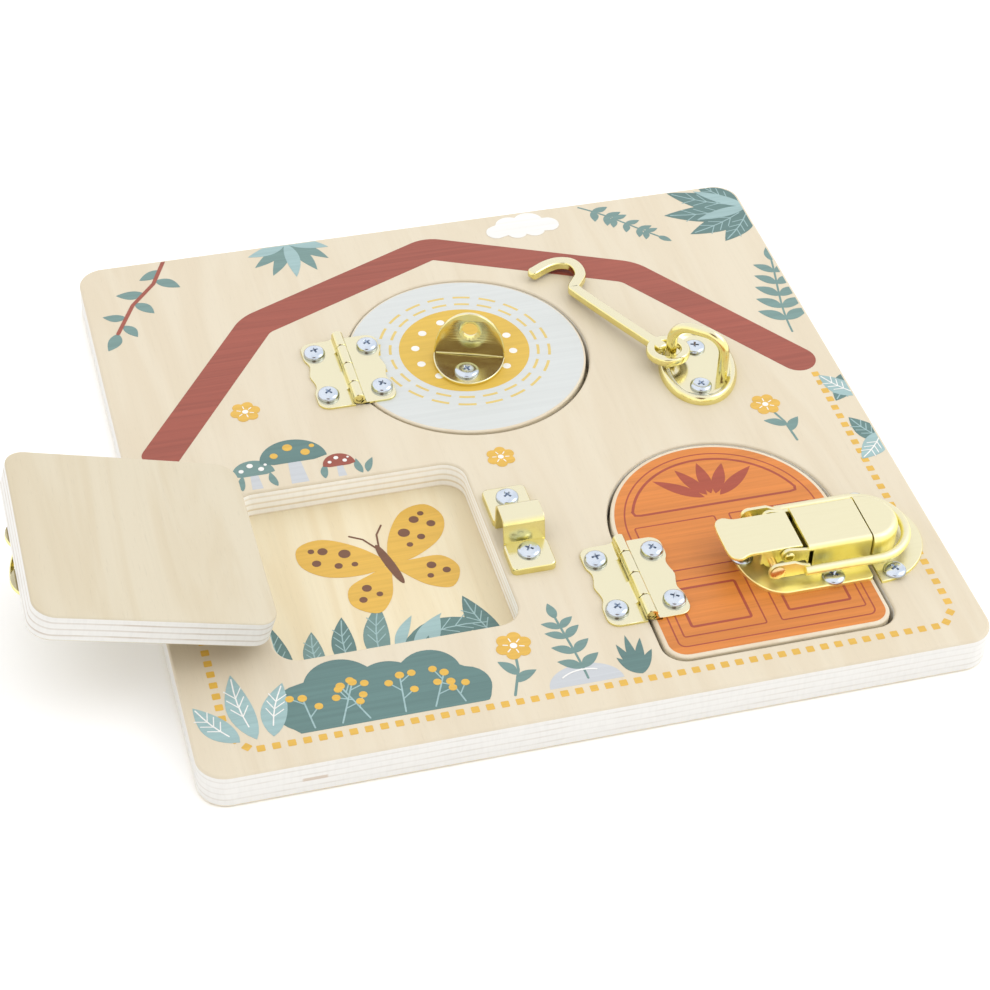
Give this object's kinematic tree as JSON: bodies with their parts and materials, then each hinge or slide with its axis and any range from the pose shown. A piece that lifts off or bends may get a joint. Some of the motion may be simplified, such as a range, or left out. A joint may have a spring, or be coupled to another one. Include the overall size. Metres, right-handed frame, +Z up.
{
  "type": "toy latch board",
  "caption": "Square plywood play board with hinged square, round and arched doors, a barrel bolt with keeper, a hook with eye plates and a toggle latch.",
  "frame": {"origin": "centre of the board's underside", "axes": "+X to the board's right edge, +Y to its back edge, +Z up through the printed face"},
  "size_m": [0.352, 0.3, 0.0577],
  "materials": {
    "printed_birch": "birch plywood, clear satin lacquer over a flat print",
    "birch_panel": "birch plywood, clear satin lacquer",
    "birch_door": "birch plywood, clear satin lacquer",
    "pale_blue_birch": "birch plywood with a pale blue print",
    "orange_birch": "birch plywood with an orange print",
    "gold_plate": "bright pale gold plating on pressed steel",
    "zinc_screw": "bright blue zinc plating",
    "copper_rivet": "bright copper"
  },
  "bodies": {
    "root": {"back_panel": "birch_panel", "front_board": "printed_birch", "square_hinge_board_leaf": "gold_plate", "square_hinge_pin": "gold_plate", "square_hinge_board_screw_1": "zinc_screw", "square_hinge_board_screw_2": "zinc_screw", "round_hinge_board_leaf": "gold_plate", "round_hinge_pin": "gold_plate", "round_hinge_board_screw_1": "zinc_screw", "round_hinge_board_screw_2": "zinc_screw", "arched_hinge_board_leaf": "gold_plate", "arched_hinge_pin": "gold_plate", "arched_hinge_board_screw_1": "zinc_screw", "arched_hinge_board_screw_2": "zinc_screw", "staple_plate": "gold_plate", "staple_ring": "gold_plate", "staple_screw_1": "zinc_screw", "staple_screw_2": "zinc_screw", "keeper": "gold_plate", "keeper_screw_1": "zinc_screw", "keeper_screw_2": "zinc_screw", "catch_plate": "gold_plate", "catch_box": "gold_plate", "catch_screw_1": "zinc_screw", "catch_screw_2": "zinc_screw"},
    "square_door": {"square_door": "birch_door", "square_hinge_door_leaf": "gold_plate", "square_hinge_door_screw_1": "zinc_screw", "square_hinge_door_screw_2": "zinc_screw", "bolt_plate": "gold_plate", "bolt_plate_screw_1": "zinc_screw", "bolt_plate_screw_2": "zinc_screw", "bolt_plate_screw_3": "zinc_screw", "bolt_plate_screw_4": "zinc_screw"},
    "bolt": {"bolt_rod": "gold_plate", "bolt_knob": "gold_plate"},
    "round_door": {"round_door": "pale_blue_birch", "round_hinge_door_leaf": "gold_plate", "round_hinge_door_screw_1": "zinc_screw", "round_hinge_door_screw_2": "zinc_screw", "eye_plate": "gold_plate", "eye_plate_screw": "zinc_screw"},
    "arched_door": {"arched_door": "orange_birch", "arched_hinge_door_leaf": "gold_plate", "arched_hinge_door_screw_1": "zinc_screw", "arched_hinge_door_screw_2": "zinc_screw", "toggle_base": "gold_plate", "toggle_base_screw_1": "zinc_screw", "toggle_base_screw_2": "zinc_screw", "toggle_base_screw_3": "zinc_screw", "toggle_housing": "gold_plate", "lever_pin": "gold_plate"},
    "toggle_lever": {"toggle_lever": "gold_plate", "bail_pin": "copper_rivet"},
    "toggle_bail": {"toggle_bail": "gold_plate"},
    "hook": {"hook": "gold_plate"}
  },
  "joints": [
    {"name": "square_door_hinge", "type": "hinge", "parent": "root", "child": "square_door", "pos_m": [-0.1128, -0.0539, 0.0189], "axis": [0, -1, 0], "range_deg": [-164, 0]},
    {"name": "bolt_slide", "type": "slide", "parent": "square_door", "child": "bolt", "axis": [-0.9603, 0.0436, 0.2754], "range_m": [0, 0.018]},
    {"name": "round_door_hinge", "type": "hinge", "parent": "root", "child": "round_door", "pos_m": [-0.051, 0.056, 0.0189], "axis": [0, -1, 0], "range_deg": [0, 160]},
    {"name": "arched_door_hinge", "type": "hinge", "parent": "root", "child": "arched_door", "pos_m": [0.0265, -0.0905, 0.0189], "axis": [0, -1, 0], "range_deg": [0, 164]},
    {"name": "toggle_lever_pivot", "type": "hinge", "parent": "arched_door", "child": "toggle_lever", "pos_m": [0.084, -0.0888, 0.0257], "axis": [0, 1, 0], "range_deg": [0, 135]},
    {"name": "toggle_bail_pivot", "type": "hinge", "parent": "toggle_lever", "child": "toggle_bail", "pos_m": [0.0778, -0.0888, 0.0232], "axis": [0, 1, 0], "range_deg": [-135, 0]},
    {"name": "hook_pivot", "type": "hinge", "parent": "root", "child": "hook", "pos_m": [0.081, 0.031, 0.0221], "axis": [0, 0, 1], "range_deg": [-40, 36]}
  ],
  "couplings": [
    {"joint": "toggle_bail_pivot", "follows": "toggle_lever_pivot", "ratio": -1}
  ]
}
